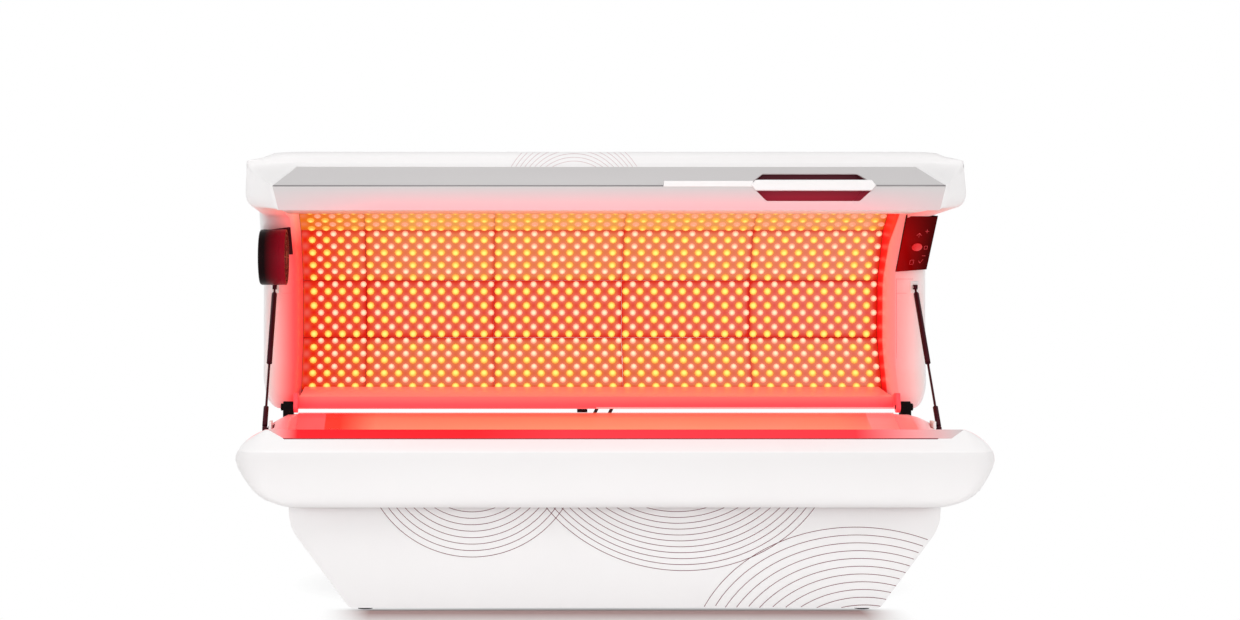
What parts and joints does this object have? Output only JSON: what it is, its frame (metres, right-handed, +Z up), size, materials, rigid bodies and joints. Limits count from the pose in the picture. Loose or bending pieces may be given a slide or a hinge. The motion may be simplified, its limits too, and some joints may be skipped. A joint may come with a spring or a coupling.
{
  "type": "red light therapy bed",
  "caption": "Full-length red light therapy bed: white bench on a pedestal, curved clear bed sheet, and a hinged lamp canopy held open by gas struts.",
  "frame": {"origin": "on the floor under the middle of the open bed's bounding box", "axes": "+X along the bed to the control panel end, +Y to the back where the canopy is hinged, +Z up"},
  "size_m": [2.256, 1.4161, 1.3806],
  "materials": {
    "steel_frame": "satin paint",
    "foot_rubber": "matte",
    "white_gloss": "gloss white",
    "screw_steel": "satin",
    "aluminium_case": "plain",
    "aluminium_frame": "plain",
    "aluminium_hollow": "plain",
    "dark_plastic": "matte",
    "black_gloss": "gloss",
    "clear_acrylic": "clear gloss",
    "lamp_board": "solder mask",
    "silver_trim": "satin silver",
    "black_steel": "satin black",
    "cable_rubber": "matte",
    "white_steel": "gloss white",
    "burgundy_plastic": "gloss",
    "light_diffuser": "opal",
    "dark_glass": "gloss",
    "red_button": "gloss"
  },
  "bodies": {
    "base": {"base_frame": "steel_frame", "levelling_feet": "foot_rubber", "pedestal_front_panel": "white_gloss", "pedestal_rear_panel": "white_gloss", "pedestal_end_panel_right": "white_gloss", "pedestal_end_panel_left": "white_gloss", "rear_panel_screws": "screw_steel", "equipment_deck": "steel_frame", "power_supplies": "aluminium_case", "controller_box": "dark_plastic", "base_fan_housing": "dark_plastic", "rear_vent_grille": "dark_plastic", "mains_inlet": "dark_plastic", "bench_tub": "white_gloss", "bed_sheet": "clear_acrylic", "bed_lamp_tray": "aluminium_case", "bed_lamp_boards": "lamp_board", "bed_ribs": "dark_plastic", "front_rim_trim": "silver_trim", "hinge_block_right": "black_steel", "hinge_block_left": "black_steel", "hinge_pins": "screw_steel", "strut_low_bracket_right": "black_steel", "strut_low_bracket_left": "black_steel", "cable_hoses": "cable_rubber", "cable_clamp": "dark_plastic"},
    "canopy": {"canopy_shell": "white_gloss", "canopy_end_flange_right": "white_gloss", "canopy_end_flange_left": "white_gloss", "canopy_frame": "aluminium_frame", "canopy_ribs": "dark_plastic", "lamp_tray": "aluminium_case", "lamp_boards": "lamp_board", "lamp_drivers": "aluminium_hollow", "trough_end_right": "white_gloss", "trough_end_left": "white_gloss", "canopy_sill": "white_gloss", "hinge_plate_right": "white_steel", "hinge_plate_left": "white_steel", "visor_nose": "white_gloss", "visor_liner": "white_gloss", "front_trim": "silver_trim", "handle_cup": "burgundy_plastic", "grip_bar": "white_gloss", "light_strip": "light_diffuser", "strut_studs": "screw_steel", "control_panel_housing": "dark_plastic", "control_glass": "dark_glass", "fan_bracket": "dark_plastic", "fan_drum": "black_gloss", "fan_motor": "aluminium_hollow", "fan_grille": "burgundy_plastic"},
    "strut_cylinder_right": {"strut_cylinder_right": "black_steel"},
    "strut_cylinder_left": {"strut_cylinder_left": "black_steel"},
    "strut_rod_right": {"strut_rod_right": "screw_steel"},
    "strut_rod_left": {"strut_rod_left": "screw_steel"},
    "start_button": {"start_button": "red_button"},
    "fan_impeller": {"fan_impeller": "dark_plastic"},
    "base_fan_rotor": {"base_fan_rotor": "dark_plastic"}
  },
  "joints": [
    {"name": "canopy_hinge", "type": "hinge", "parent": "base", "child": "canopy", "pos_m": [0, 0.237, 0.5565], "axis": [1, 0, 0], "range_deg": [0, 45], "deforming": ["cable_hoses"]},
    {"name": "strut_right_pivot", "type": "hinge", "parent": "canopy", "child": "strut_cylinder_right", "pos_m": [1.088, 0.337, 0.959], "axis": [1, 0, 0], "range_deg": [-15, 1]},
    {"name": "strut_right_slide", "type": "slide", "parent": "strut_cylinder_right", "child": "strut_rod_right", "axis": [0, 0.6163, 0.7875], "range_m": [-0.001, 0.17]},
    {"name": "strut_left_pivot", "type": "hinge", "parent": "canopy", "child": "strut_cylinder_left", "pos_m": [-1.088, 0.337, 0.959], "axis": [1, 0, 0], "range_deg": [-15, 1]},
    {"name": "strut_left_slide", "type": "slide", "parent": "strut_cylinder_left", "child": "strut_rod_left", "axis": [0, 0.6163, 0.7875], "range_m": [-0.001, 0.17]},
    {"name": "start_button_press", "type": "slide", "parent": "canopy", "child": "start_button", "axis": [0, 0.7011, 0.7131], "range_m": [0, 0.0015], "stiffness_N_per_m": 800},
    {"name": "fan_spin", "type": "hinge", "parent": "canopy", "child": "fan_impeller", "pos_m": [-1.06, 0.16, 1.057], "axis": [1, 0, 0], "continuous": true},
    {"name": "base_fan_spin", "type": "hinge", "parent": "base", "child": "base_fan_rotor", "pos_m": [0.42, 0.27, 0.17], "axis": [0, 1, 0], "continuous": true}
  ],
  "couplings": [
    {"joint": "strut_right_pivot", "follows": "canopy_hinge", "ratio": -0.29611},
    {"joint": "strut_right_slide", "follows": "canopy_hinge", "m_per_rad": 0.21484},
    {"joint": "strut_left_pivot", "follows": "canopy_hinge", "ratio": -0.29611},
    {"joint": "strut_left_slide", "follows": "canopy_hinge", "m_per_rad": 0.21484}
  ]
}
